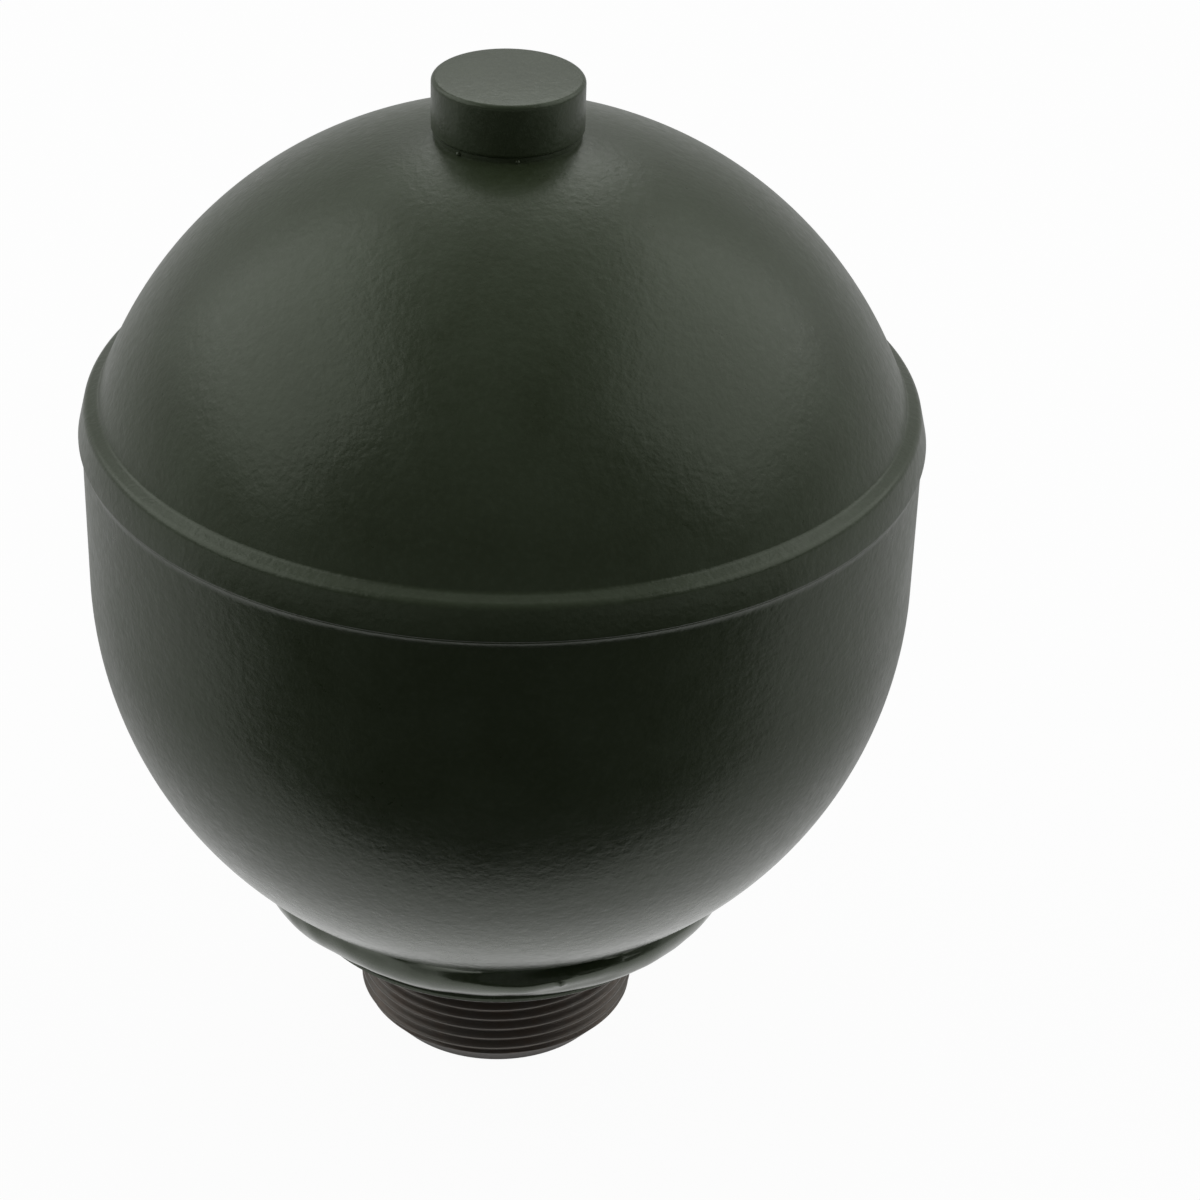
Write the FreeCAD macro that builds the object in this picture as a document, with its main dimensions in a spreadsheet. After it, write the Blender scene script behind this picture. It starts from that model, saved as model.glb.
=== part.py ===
import FreeCAD, Part
import math
import os
from types import SimpleNamespace

import Sketcher
from FreeCAD import Placement, Rotation, Vector

# Suspension accumulator: a steel sphere that holds gas above a rubber diaphragm and oil below it.
# It stands on the end of its threaded neck, and Z is the axis of the sphere and of the neck.
# All sizes are millimetres. Heights are measured from the neck's end face.

COMPRESSION_SHIMS = 4
REBOUND_SHIMS = 3

# Driving sizes
SIZES = {
    # Neck: thread, lead-in, seal seat, collar, spigot in the cup, and the bore for the damper
    "neck_thread_radius": 17.5,
    "neck_wall": 5.0,
    "seal_seat_height": 17.4,
    "seal_seat_width": 8.1,
    "collar_thickness": 4.2,
    "collar_chamfer": 0.5,
    "collar_bevel_width": 1.6,
    "collar_bevel_height": 3.3,
    "spigot_shoulder": 3.6,
    "thread_lead_length": 3.4,
    "thread_lead_depth": 2.9,
    "thread_relief_depth": 1.2,
    "thread_relief_width": 1.8,
    "seat_relief_depth": 0.3,
    "seat_relief_width": 0.6,
    "mouth_chamfer": 0.7,
    "crimp_lip_reach": 0.9,
    "crimp_lip_height": 0.6,
    # Oil-side shell: a pressed cup with a straight upper wall, grooved for the diaphragm's bead
    "cup_radius": 49.4,
    "cup_wall": 3.5,
    "cup_straight_height": 18.65,
    "bead_groove_depth": 0.6,
    "bead_groove_length": 8.3,
    # Gas-side shell: a pressed dome with a thick band that sits on the cup's rim
    "dome_rise": 33.1,
    "dome_wall": 3.5,
    "band_overhang": 0.5,
    "band_thickness": 4.4,
    "band_taper": 0.95,
    "band_shoulder_round": 1.1,
    "band_ledge_width": 0.4,
    "band_fillet": 0.75,
    "band_edge_round": 0.25,
    "clamp_seat_depth": 2.7,
    "fill_hole_radius": 2.0,
    "fill_hole_countersink": 1.6,
    # Welded cap over the fill hole, and the plug under it
    "cap_radius": 8.7,
    "cap_height": 6.25,
    "cap_edge_round": 0.6,
    "cap_foot_chamfer": 0.7,
    "cap_pocket_margin": 1.0,
    "cap_pocket_height": 1.4,
    "plug_crown": 0.4,
    "plug_depth": 4.4,
    # Weld beads
    "cap_weld_leg": 0.45,
    "equator_weld_leg": 0.4,
    "neck_weld_reach": 6.4,
    "neck_weld_drop": 1.2,
    "neck_weld_face_bulge": 2.3,
    # Diaphragm with its clamped bead, its button and the clamp ring
    "diaphragm_thickness": 1.5,
    "diaphragm_pad_thickness": 2.5,
    "diaphragm_pad_margin": 0.2,
    "bead_height": 2.6,
    "bead_width": 2.8,
    "button_overlap": 2.7,
    "button_thickness": 1.5,
    "button_chamfer": 0.4,
    "button_boss_radius": 4.0,
    "button_boss_height": 0.8,
    "button_seat_margin": 0.7,
    "clamp_toe_width": 1.0,
    "clamp_toe_height": 2.2,
    "clamp_ring_chamfer": 0.8,
    # Damper valve in the neck: its radii are shares of the radius of its bore
    "oil_passage_share": 0.784,
    "outer_port_pitch_share": 0.64,
    "inner_port_pitch_share": 0.384,
    "port_share": 0.08,
    "largest_shim_share": 0.528,
    "shim_step_share": 0.064,
    "washer_share": 0.288,
    "bolt_share": 0.16,
    "bolt_bleed_share": 0.04,
    "hex_flats_share": 0.56,
    "port_count": 5,
    "damper_thickness": 5.0,
    "damper_chamfer": 0.4,
    "shim_thickness": 0.3,
    "washer_thickness": 1.0,
    "bolt_head_height": 2.5,
    "bolt_head_clearance": 1.0,
    "nut_height": 3.2,
    "bolt_tip_length": 1.0,
    "hex_corner_chamfer": 0.5,
    # Fits
    "press_clearance": 0.05,
    "rubber_clearance": 0.2,
    "diaphragm_clearance": 0.3,
}

FULL_TURN = 360
PLACE_TOLERANCE = 0.01
HEX_BEVEL_SLOPE = 1.2

doc = FreeCAD.newDocument("SuspensionAccumulator")
sheet = doc.addObject("Spreadsheet::Sheet", "Sizes")
for row, (size_name, size_value) in enumerate(SIZES.items(), start=1):
    sheet.set(f"A{row}", size_name)
    sheet.set(f"B{row}", str(size_value))
    sheet.setAlias(f"B{row}", size_name)
doc.recompute()


class Size:
    """A number with the sheet formula that gives it, so that what comes from it stays bound to the sheet."""

    def __init__(self, value, formula=None):
        self.value = float(value)
        self.formula = formula or str(float(value))

    def combined(self, other, sign, value):
        return Size(value, f"({self.formula} {sign} {other.formula})")

    def __add__(self, other):
        other = sized(other)
        return self.combined(other, "+", self.value + other.value)

    def __sub__(self, other):
        other = sized(other)
        return self.combined(other, "-", self.value - other.value)

    def __mul__(self, other):
        other = sized(other)
        return self.combined(other, "*", self.value * other.value)

    def __truediv__(self, other):
        other = sized(other)
        return self.combined(other, "/", self.value / other.value)


def sized(number):
    return number if isinstance(number, Size) else Size(number)


def root(size):
    return Size(math.sqrt(size.value), f"sqrt({size.formula})")


def slope_angle(rise, run):
    """The angle, in degrees, of a line that goes over by rise along a run."""
    return Size(math.degrees(math.atan2(rise.value, run.value)), f"atan({rise.formula} / {run.formula})")


s = SimpleNamespace(**{name: Size(value, f"Sizes.{name}") for name, value in SIZES.items()})
ZERO = Size(0)
LEFT = "left"
RIGHT = "right"


def height_below(centre_height, sphere_radius, radius):
    """The height at which the lower half of a sphere has a radius."""
    return centre_height - root(sphere_radius * sphere_radius - radius * radius)


def height_above(centre_height, sphere_radius, radius):
    """The height at which the upper half of a sphere has a radius."""
    return centre_height + root(sphere_radius * sphere_radius - radius * radius)


def arc_radius(half_chord, rise):
    """The radius of an arc that rises by a height in the middle of its chord."""
    return (half_chord * half_chord + rise * rise) / (rise * 2)


# Neck places
collar_radius = s.neck_thread_radius + s.seal_seat_width
neck_hole_radius = collar_radius - s.spigot_shoulder
collar_top = s.seal_seat_height + s.collar_thickness
collar_top_radius = collar_radius - s.collar_bevel_width
collar_bevel_bottom = collar_top - s.collar_bevel_height
damper_bore_radius = s.neck_thread_radius - s.neck_wall
oil_passage_radius = damper_bore_radius * s.oil_passage_share
button_radius = oil_passage_radius + s.button_overlap
neck_end_radius = s.neck_thread_radius - s.thread_lead_depth

# Cup places: the cup's outside meets the collar's top at the edge of the neck hole
cup_inner_radius = s.cup_radius - s.cup_wall
cup_centre_height = collar_top + root(s.cup_radius * s.cup_radius - neck_hole_radius * neck_hole_radius)
cup_rim_height = cup_centre_height + s.cup_straight_height
bead_groove_radius = cup_inner_radius + s.bead_groove_depth
bead_groove_height = cup_rim_height - s.bead_groove_length

# Band and dome places: the dome is the sphere that has its foot on the band and its crown at the rise
band_radius = s.cup_radius + s.band_overhang
band_top = cup_rim_height + s.band_thickness
band_top_radius = band_radius - s.band_taper
dome_foot_radius = band_top_radius - s.band_shoulder_round - s.band_ledge_width
dome_radius = arc_radius(dome_foot_radius, s.dome_rise)
dome_inner_radius = dome_radius - s.dome_wall
dome_crown = band_top + s.dome_rise
dome_centre_height = dome_crown - dome_radius
clamp_seat_height = cup_rim_height + s.clamp_seat_depth
clamp_seat_rise = clamp_seat_height - dome_centre_height
clamp_seat_inner_radius = root(dome_inner_radius * dome_inner_radius - clamp_seat_rise * clamp_seat_rise)
countersink_radius = s.fill_hole_radius + s.fill_hole_countersink
cap_pocket_radius = countersink_radius + s.cap_pocket_margin
cap_foot_radius = s.cap_radius - s.cap_foot_chamfer


def dome_height(radius):
    return height_above(dome_centre_height, dome_radius, radius)


def cup_height(radius):
    return height_below(cup_centre_height, s.cup_radius, radius)


def cup_inner_height(radius):
    return height_below(cup_centre_height, cup_inner_radius, radius)


# Diaphragm places: its pad is where its outer sphere is just wider than the button
diaphragm_outer_radius = cup_inner_radius - s.diaphragm_clearance
pad_radius = button_radius + s.diaphragm_pad_margin
pad_bottom = height_below(cup_centre_height, diaphragm_outer_radius, pad_radius)
button_seat_height = pad_bottom - s.button_thickness
bead_bottom = bead_groove_height + s.rubber_clearance
bead_top = bead_bottom + s.bead_height
bead_outer_radius = bead_groove_radius - s.rubber_clearance
bead_inner_radius = bead_outer_radius - s.bead_width
clamp_underside = bead_top + s.rubber_clearance
toe_outer_radius = bead_inner_radius - s.rubber_clearance

# Damper radii: the outer ports open inside the oil passage, and the shims cover the inner ones
damper_radius = damper_bore_radius - s.press_clearance
outer_pitch_radius = damper_bore_radius * s.outer_port_pitch_share
inner_pitch_radius = damper_bore_radius * s.inner_port_pitch_share
port_radius = damper_bore_radius * s.port_share
largest_shim_radius = damper_bore_radius * s.largest_shim_share
shim_radius_step = damper_bore_radius * s.shim_step_share
washer_radius = damper_bore_radius * s.washer_share
bolt_radius = damper_bore_radius * s.bolt_share
bolt_hole_radius = bolt_radius + s.press_clearance
bolt_bleed_radius = damper_bore_radius * s.bolt_bleed_share
hex_circumradius = damper_bore_radius * s.hex_flats_share / root(Size(3))

# Damper heights, down from the button's seat
head_bottom = button_seat_height - s.bolt_head_clearance - s.bolt_head_height
compression_stack_top = head_bottom - s.washer_thickness
damper_seat_height = compression_stack_top - s.shim_thickness * COMPRESSION_SHIMS
damper_bottom_height = damper_seat_height - s.damper_thickness
rebound_washer_bottom = damper_bottom_height - s.shim_thickness * REBOUND_SHIMS - s.washer_thickness
nut_bottom = rebound_washer_bottom - s.nut_height


# Building blocks
def new_body(label):
    body = doc.addObject("PartDesign::Body", label)
    body.Label = label
    return body


def origin_feature(body, role):
    return next(feature for feature in body.Origin.OriginFeatures if feature.Role == role)


def new_sketch(body, plane):
    sketch = body.newObject("Sketcher::SketchObject", "Sketch")
    sketch.AttachmentSupport = (origin_feature(body, plane), [""])
    sketch.MapMode = "FlatFace"
    return sketch


def bind(sketch, constraint, size):
    index = sketch.addConstraint(constraint)
    sketch.setExpression(f"Constraints[{index}]", size.formula)


def arc_between(start, end, radius, side):
    """The short arc from start to end whose centre lies on one side of the way from start to end."""
    chord = end - start
    middle = (start + end) * 0.5
    left = Vector(-chord.y, chord.x, 0).normalize()
    reach = math.sqrt(radius**2 - (chord.Length / 2) ** 2)
    centre = middle + left * (reach if side == LEFT else -reach)
    start_angle = math.atan2(start.y - centre.y, start.x - centre.x)
    end_angle = math.atan2(end.y - centre.y, end.x - centre.x)
    circle = Part.Circle(centre, Vector(0, 0, 1), radius)
    if side == LEFT:
        return Part.ArcOfCircle(circle, start_angle, end_angle), (1, 2)
    return Part.ArcOfCircle(circle, end_angle, start_angle), (2, 1)


def line_to(radius, height):
    return SimpleNamespace(radius=sized(radius), height=sized(height), bend=None, side=None)


def arc_to(radius, height, bend, side):
    return SimpleNamespace(radius=sized(radius), height=sized(height), bend=bend, side=side)


def outline_sketch(body, steps):
    """A closed outline of lines and arcs beside the axis: each step goes to a radius and a height."""
    sketch = new_sketch(body, "XZ_Plane")
    corners = [Vector(step.radius.value, step.height.value, 0) for step in steps]
    ends = []
    for index, step in enumerate(steps):
        start, end = corners[index - 1], corners[index]
        if step.bend is None:
            sketch.addGeometry(Part.LineSegment(start, end), False)
            ends.append((1, 2))
        else:
            arc, arc_ends = arc_between(start, end, step.bend.value, step.side)
            sketch.addGeometry(arc, False)
            ends.append(arc_ends)
    for index, step in enumerate(steps):
        following = (index + 1) % len(steps)
        end = ends[index][1]
        sketch.addConstraint(Sketcher.Constraint("Coincident", index, end, following, ends[following][0]))
        place_point(sketch, index, end, step.radius, step.height)
        if step.bend is not None:
            bind(sketch, Sketcher.Constraint("Radius", index, step.bend.value), step.bend)
    return sketch


def place_point(sketch, edge, point, across, up):
    """Tie a point of the sketch to its place, on an axis where the place is zero."""
    if across.value:
        bind(sketch, Sketcher.Constraint("DistanceX", -1, 1, edge, point, across.value), across)
    else:
        sketch.addConstraint(Sketcher.Constraint("PointOnObject", edge, point, -2))
    if up.value:
        bind(sketch, Sketcher.Constraint("DistanceY", -1, 1, edge, point, up.value), up)
    else:
        sketch.addConstraint(Sketcher.Constraint("PointOnObject", edge, point, -1))


def turned_body(label, steps):
    """A piece turned about the axis from its outline."""
    body = new_body(label)
    sketch = outline_sketch(body, steps)
    turn = body.newObject("PartDesign::Revolution", "Turned")
    turn.Profile = sketch
    turn.ReferenceAxis = (sketch, ["V_Axis"])
    turn.Angle = FULL_TURN
    return body


def round_edge(body, radius, height, rounding):
    """Round the one circular edge that has a radius and a height."""
    doc.recompute()
    base = body.Tip
    names = []
    for number, edge in enumerate(base.Shape.Edges, start=1):
        curve = edge.Curve
        if not isinstance(curve, Part.Circle):
            continue
        apart = max(abs(curve.Radius - radius.value), abs(curve.Center.z - height.value))
        level = abs(curve.Axis.z) > 1 - PLACE_TOLERANCE
        if level and apart < PLACE_TOLERANCE:
            names.append(f"Edge{number}")
    fillet = body.newObject("PartDesign::Fillet", "Rounded")
    fillet.Base = (base, names)
    fillet.setExpression("Radius", rounding.formula)


def circle_on(sketch, radius):
    index = sketch.addGeometry(Part.Circle(Vector(0, 0, 0), Vector(0, 0, 1), radius.value), False)
    sketch.addConstraint(Sketcher.Constraint("Coincident", index, 3, -1, 1))
    bind(sketch, Sketcher.Constraint("Radius", index, radius.value), radius)


def hexagon_on(sketch, circumradius):
    """A regular hexagon about the origin, with two corners on the horizontal axis."""
    first_corner = Vector(circumradius.value, 0, 0)
    corners = [Rotation(Vector(0, 0, 1), 60 * corner).multVec(first_corner) for corner in range(6)]
    for side in range(6):
        sketch.addGeometry(Part.LineSegment(corners[side], corners[(side + 1) % 6]), False)
    ring = sketch.addGeometry(Part.Circle(Vector(0, 0, 0), Vector(0, 0, 1), circumradius.value), True)
    sketch.addConstraint(Sketcher.Constraint("Coincident", ring, 3, -1, 1))
    bind(sketch, Sketcher.Constraint("Radius", ring, circumradius.value), circumradius)
    for side in range(6):
        sketch.addConstraint(Sketcher.Constraint("Coincident", side, 2, (side + 1) % 6, 1))
        sketch.addConstraint(Sketcher.Constraint("PointOnObject", side, 1, ring))
        if side:
            sketch.addConstraint(Sketcher.Constraint("Equal", 0, side))
    sketch.addConstraint(Sketcher.Constraint("PointOnObject", 0, 1, -1))


def pad_sketch(body, sketch, bottom, thickness):
    sketch.setExpression("AttachmentOffset.Base.z", bottom.formula)
    pad = body.newObject("PartDesign::Pad", "Pad")
    pad.Profile = sketch
    pad.setExpression("Length", thickness.formula)


def ring_body(label, outer_radius, inner_radius, bottom, thickness):
    """A flat ring, such as a shim or a washer."""
    body = new_body(label)
    sketch = new_sketch(body, "XY_Plane")
    circle_on(sketch, outer_radius)
    circle_on(sketch, inner_radius)
    pad_sketch(body, sketch, bottom, thickness)
    return body


def cut_corner_ring(body, steps):
    """Turn off a ring of metal, given by its outline, all round the axis."""
    sketch = outline_sketch(body, steps)
    groove = body.newObject("PartDesign::Groove", "Turned off")
    groove.Profile = sketch
    groove.ReferenceAxis = (sketch, ["V_Axis"])
    groove.Angle = FULL_TURN


# Pressure vessel
def build_lower_shell():
    turned_body("lower_shell", [
        line_to(neck_hole_radius, cup_height(neck_hole_radius)),
        arc_to(s.cup_radius, cup_centre_height, s.cup_radius, LEFT),
        line_to(s.cup_radius, cup_rim_height),
        line_to(bead_groove_radius, cup_rim_height),
        line_to(bead_groove_radius, bead_groove_height),
        line_to(cup_inner_radius, bead_groove_height),
        line_to(cup_inner_radius, cup_centre_height),
        arc_to(neck_hole_radius, cup_inner_height(neck_hole_radius), cup_inner_radius, RIGHT),
    ])


def build_upper_shell():
    """The dome, the band at its rim and the countersunk fill hole at its crown."""
    countersink_top = dome_height(countersink_radius)
    fill_hole_bottom = height_above(dome_centre_height, dome_inner_radius, s.fill_hole_radius)
    shell = turned_body("upper_shell", [
        line_to(s.fill_hole_radius, fill_hole_bottom),
        arc_to(clamp_seat_inner_radius, clamp_seat_height, dome_inner_radius, RIGHT),
        line_to(bead_groove_radius, clamp_seat_height),
        line_to(bead_groove_radius, cup_rim_height),
        line_to(band_radius, cup_rim_height),
        line_to(band_top_radius, band_top),
        line_to(dome_foot_radius, band_top),
        arc_to(countersink_radius, countersink_top, dome_radius, LEFT),
        line_to(s.fill_hole_radius, countersink_top - s.fill_hole_countersink),
    ])
    round_edge(shell, dome_foot_radius, band_top, s.band_fillet)
    round_edge(shell, band_top_radius, band_top, s.band_shoulder_round)
    round_edge(shell, band_radius, cup_rim_height, s.band_edge_round)


def build_equator_weld():
    """The fine bead under the band, all round the cup."""
    turned_body("equator_weld", [
        line_to(s.cup_radius, cup_rim_height - s.equator_weld_leg),
        line_to(s.cup_radius + s.equator_weld_leg, cup_rim_height),
        line_to(s.cup_radius, cup_rim_height),
    ])


def build_charging_plug():
    """The tapered plug that closes the fill hole once the gas is in."""
    head_height = dome_height(countersink_radius)
    turned_body("charging_plug", [
        line_to(ZERO, dome_crown - s.plug_depth),
        line_to(s.fill_hole_radius - s.press_clearance, dome_crown - s.plug_depth),
        line_to(s.fill_hole_radius - s.press_clearance, head_height - s.fill_hole_countersink),
        line_to(countersink_radius - s.press_clearance, head_height),
        line_to(s.fill_hole_radius, dome_crown + s.plug_crown),
        line_to(ZERO, dome_crown + s.plug_crown),
    ])


def build_top_cap():
    """The round cap welded over the plug, hollow underneath and shaped to the dome at its foot."""
    pocket_top = dome_crown + s.cap_pocket_height
    cap_top = dome_crown + s.cap_height
    cap = turned_body("top_cap", [
        line_to(ZERO, pocket_top),
        line_to(cap_pocket_radius, pocket_top),
        line_to(cap_pocket_radius, dome_height(cap_pocket_radius)),
        arc_to(cap_foot_radius, dome_height(cap_foot_radius), dome_radius, RIGHT),
        line_to(s.cap_radius, dome_height(cap_foot_radius) + s.cap_foot_chamfer),
        line_to(s.cap_radius, cap_top),
        line_to(ZERO, cap_top),
    ])
    round_edge(cap, s.cap_radius, cap_top, s.cap_edge_round)


def build_cap_weld():
    """The fine bead in the wedge under the cap's chamfered foot."""
    toe_radius = cap_foot_radius + s.cap_weld_leg
    turned_body("cap_weld", [
        line_to(cap_foot_radius, dome_height(cap_foot_radius)),
        arc_to(toe_radius, dome_height(toe_radius), dome_radius, RIGHT),
        line_to(toe_radius, dome_height(cap_foot_radius) + s.cap_weld_leg),
    ])


# Neck
def build_neck():
    """The turned neck: spigot in the cup, collar, thread, lead-in, and the stepped bore for the damper."""
    spigot_radius = neck_hole_radius - s.press_clearance
    relief_radius = s.neck_thread_radius - s.thread_relief_depth
    relief_bottom = s.seal_seat_height - s.thread_relief_width
    relief_top = s.seal_seat_height + s.seat_relief_depth
    seat_inner_radius = s.neck_thread_radius + s.seat_relief_width
    button_seat_radius = button_radius + s.button_seat_margin
    lip_top = damper_bottom_height - s.press_clearance
    lip_bottom = lip_top - s.crimp_lip_height
    turned_body("neck", [
        line_to(damper_bore_radius + s.mouth_chamfer, ZERO),
        line_to(neck_end_radius, ZERO),
        line_to(s.neck_thread_radius, s.thread_lead_length),
        line_to(s.neck_thread_radius, relief_bottom - s.thread_relief_depth),
        line_to(relief_radius, relief_bottom),
        line_to(relief_radius, relief_top),
        line_to(s.neck_thread_radius, relief_top),
        line_to(seat_inner_radius, s.seal_seat_height),
        line_to(collar_radius - s.collar_chamfer, s.seal_seat_height),
        line_to(collar_radius, s.seal_seat_height + s.collar_chamfer),
        line_to(collar_radius, collar_bevel_bottom),
        line_to(collar_top_radius, collar_top),
        line_to(spigot_radius, collar_top),
        line_to(spigot_radius, cup_inner_height(spigot_radius)),
        arc_to(button_seat_radius, cup_inner_height(button_seat_radius), cup_inner_radius, RIGHT),
        line_to(button_seat_radius, button_seat_height),
        line_to(oil_passage_radius, button_seat_height),
        line_to(oil_passage_radius, damper_seat_height),
        line_to(damper_bore_radius, damper_seat_height),
        line_to(damper_bore_radius, lip_top),
        line_to(damper_bore_radius - s.crimp_lip_reach, lip_top),
        line_to(damper_bore_radius - s.crimp_lip_reach, lip_bottom),
        line_to(damper_bore_radius, lip_bottom - s.crimp_lip_reach),
        line_to(damper_bore_radius, s.mouth_chamfer),
    ])


def build_neck_weld():
    """The full bead that fills the wedge between the collar's bevel and the cup."""
    toe_radius = collar_radius + s.neck_weld_reach
    toe_height = cup_height(toe_radius)
    root_height = collar_top - s.neck_weld_drop
    root_radius = collar_top_radius + s.neck_weld_drop * s.collar_bevel_width / s.collar_bevel_height
    run = toe_radius - root_radius
    rise = toe_height - root_height
    half_face = root(run * run + rise * rise) / 2
    face_radius = arc_radius(half_face, s.neck_weld_face_bulge)
    turned_body("neck_weld", [
        arc_to(neck_hole_radius, collar_top, s.cup_radius, RIGHT),
        line_to(collar_top_radius, collar_top),
        line_to(root_radius, root_height),
        arc_to(toe_radius, toe_height, face_radius, LEFT),
    ])


# Diaphragm group
def build_diaphragm():
    """The rubber cup: a bead at its rim, a skin along the oil-side shell and a flat pad on the button."""
    inner_radius = diaphragm_outer_radius - s.diaphragm_thickness
    pad_top = pad_bottom + s.diaphragm_pad_thickness
    pad_rise = cup_centre_height - pad_top
    pad_top_radius = root(inner_radius * inner_radius - pad_rise * pad_rise)
    recess_radius = s.button_boss_radius + s.diaphragm_clearance
    recess_top = pad_bottom + s.button_boss_height + s.rubber_clearance
    neck_in = inner_radius - bead_inner_radius
    turned_body("diaphragm", [
        line_to(ZERO, recess_top),
        line_to(recess_radius, recess_top),
        line_to(recess_radius, pad_bottom),
        line_to(pad_radius, pad_bottom),
        arc_to(diaphragm_outer_radius, cup_centre_height, diaphragm_outer_radius, LEFT),
        line_to(diaphragm_outer_radius, bead_bottom),
        line_to(bead_outer_radius, bead_bottom),
        line_to(bead_outer_radius, bead_top),
        line_to(bead_inner_radius, bead_top),
        line_to(bead_inner_radius, bead_bottom + neck_in),
        line_to(inner_radius, bead_bottom),
        line_to(inner_radius, cup_centre_height),
        arc_to(pad_top_radius, pad_top, inner_radius, RIGHT),
        line_to(ZERO, pad_top),
    ])


def build_diaphragm_button():
    """The disc that keeps the diaphragm out of the oil passage, with a boss that locates it in the pad."""
    boss_top = pad_bottom + s.button_boss_height
    turned_body("diaphragm_button", [
        line_to(ZERO, button_seat_height),
        line_to(button_radius - s.button_chamfer, button_seat_height),
        line_to(button_radius, button_seat_height + s.button_chamfer),
        line_to(button_radius, pad_bottom),
        line_to(s.button_boss_radius, pad_bottom),
        line_to(s.button_boss_radius, boss_top),
        line_to(ZERO, boss_top),
    ])


def build_clamp_ring():
    """The steel ring inside the joint: it backs the weld, lines up both shells and holds the bead."""
    ring_radius = bead_groove_radius - s.press_clearance
    bore_radius = toe_outer_radius - s.clamp_toe_width
    toe_bottom = clamp_underside - s.clamp_toe_height
    turned_body("clamp_ring", [
        line_to(bore_radius, toe_bottom),
        line_to(toe_outer_radius, toe_bottom),
        line_to(toe_outer_radius, clamp_underside),
        line_to(ring_radius, clamp_underside),
        line_to(ring_radius, clamp_seat_height),
        line_to(bore_radius + s.clamp_ring_chamfer, clamp_seat_height),
        line_to(bore_radius, clamp_seat_height - s.clamp_ring_chamfer),
    ])


# Damper valve
def slanted_ports(body, side):
    """A ring of leaning holes. With side 1 they open outwards at the top, and with side -1 inwards."""
    middle_radius = (inner_pitch_radius + outer_pitch_radius) / 2
    middle_height = damper_seat_height - s.damper_thickness / 2
    lean = slope_angle(outer_pitch_radius - inner_pitch_radius, s.damper_thickness)
    sketch = new_sketch(body, "XY_Plane")
    sketch.AttachmentOffset = Placement(Vector(0, 0, 0), Rotation(Vector(0, 1, 0), lean.value))
    sketch.setExpression("AttachmentOffset.Base.x", (middle_radius * side).formula)
    sketch.setExpression("AttachmentOffset.Base.z", middle_height.formula)
    sketch.setExpression("AttachmentOffset.Rotation.Angle", lean.formula)
    circle_on(sketch, port_radius)
    port = body.newObject("PartDesign::Pocket", "Port")
    port.Profile = sketch
    port.Type = "ThroughAll"
    port.SideType = "Symmetric"
    ring = body.newObject("PartDesign::PolarPattern", "Ports")
    ring.Originals = [port]
    ring.Axis = (origin_feature(body, "Z_Axis"), [""])
    ring.Angle = FULL_TURN
    ring.setExpression("Occurrences", s.port_count.formula)
    body.Tip = ring


def build_damper_body():
    """The disc with both rings of ports, pressed against the neck's shoulder and held by the rolled lip."""
    edge = s.damper_chamfer
    body = turned_body("damper_body", [
        line_to(bolt_hole_radius, damper_bottom_height),
        line_to(damper_radius - edge, damper_bottom_height),
        line_to(damper_radius, damper_bottom_height + edge),
        line_to(damper_radius, damper_seat_height - edge),
        line_to(damper_radius - edge, damper_seat_height),
        line_to(bolt_hole_radius, damper_seat_height),
    ])
    slanted_ports(body, side=1)
    slanted_ports(body, side=-1)


def build_shims():
    """The leaf shims over each ring of ports: the largest lies on the damper's body, the rest get smaller."""
    for count in range(COMPRESSION_SHIMS):
        radius = largest_shim_radius - shim_radius_step * count
        bottom = damper_seat_height + s.shim_thickness * count
        ring_body(f"compression_shim_{count + 1}", radius, bolt_hole_radius, bottom, s.shim_thickness)
    for count in range(REBOUND_SHIMS):
        radius = largest_shim_radius - shim_radius_step * count
        bottom = damper_bottom_height - s.shim_thickness * (count + 1)
        ring_body(f"rebound_shim_{count + 1}", radius, bolt_hole_radius, bottom, s.shim_thickness)


def build_washers():
    for label, bottom in (
        ("compression_washer", compression_stack_top),
        ("rebound_washer", rebound_washer_bottom),
    ):
        ring_body(label, washer_radius, bolt_hole_radius, bottom, s.washer_thickness)


def bevel_hexagon(body, edge_height, step):
    """Turn the corners off one end of a hexagon: step is the way from that end's face into the hexagon."""
    reach = hex_circumradius + s.hex_corner_chamfer
    cut_corner_ring(body, [
        line_to(hex_circumradius - s.hex_corner_chamfer, edge_height),
        line_to(reach, edge_height),
        line_to(reach, edge_height + s.hex_corner_chamfer * step * HEX_BEVEL_SLOPE),
    ])


def build_damper_bolt():
    """The centre bolt with its bleed hole; its head is on the gas side."""
    bolt = turned_body("damper_bolt", [
        line_to(bolt_bleed_radius, nut_bottom - s.bolt_tip_length),
        line_to(bolt_radius - s.damper_chamfer, nut_bottom - s.bolt_tip_length),
        line_to(bolt_radius, nut_bottom - s.bolt_tip_length + s.damper_chamfer),
        line_to(bolt_radius, head_bottom),
        line_to(bolt_bleed_radius, head_bottom),
    ])
    head = new_sketch(bolt, "XY_Plane")
    hexagon_on(head, hex_circumradius)
    circle_on(head, bolt_bleed_radius)
    pad_sketch(bolt, head, head_bottom, s.bolt_head_height)
    bevel_hexagon(bolt, head_bottom + s.bolt_head_height, -1)


def build_damper_nut():
    nut = new_body("damper_nut")
    face = new_sketch(nut, "XY_Plane")
    hexagon_on(face, hex_circumradius)
    circle_on(face, bolt_hole_radius)
    pad_sketch(nut, face, nut_bottom, s.nut_height)
    bevel_hexagon(nut, nut_bottom, 1)


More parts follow.
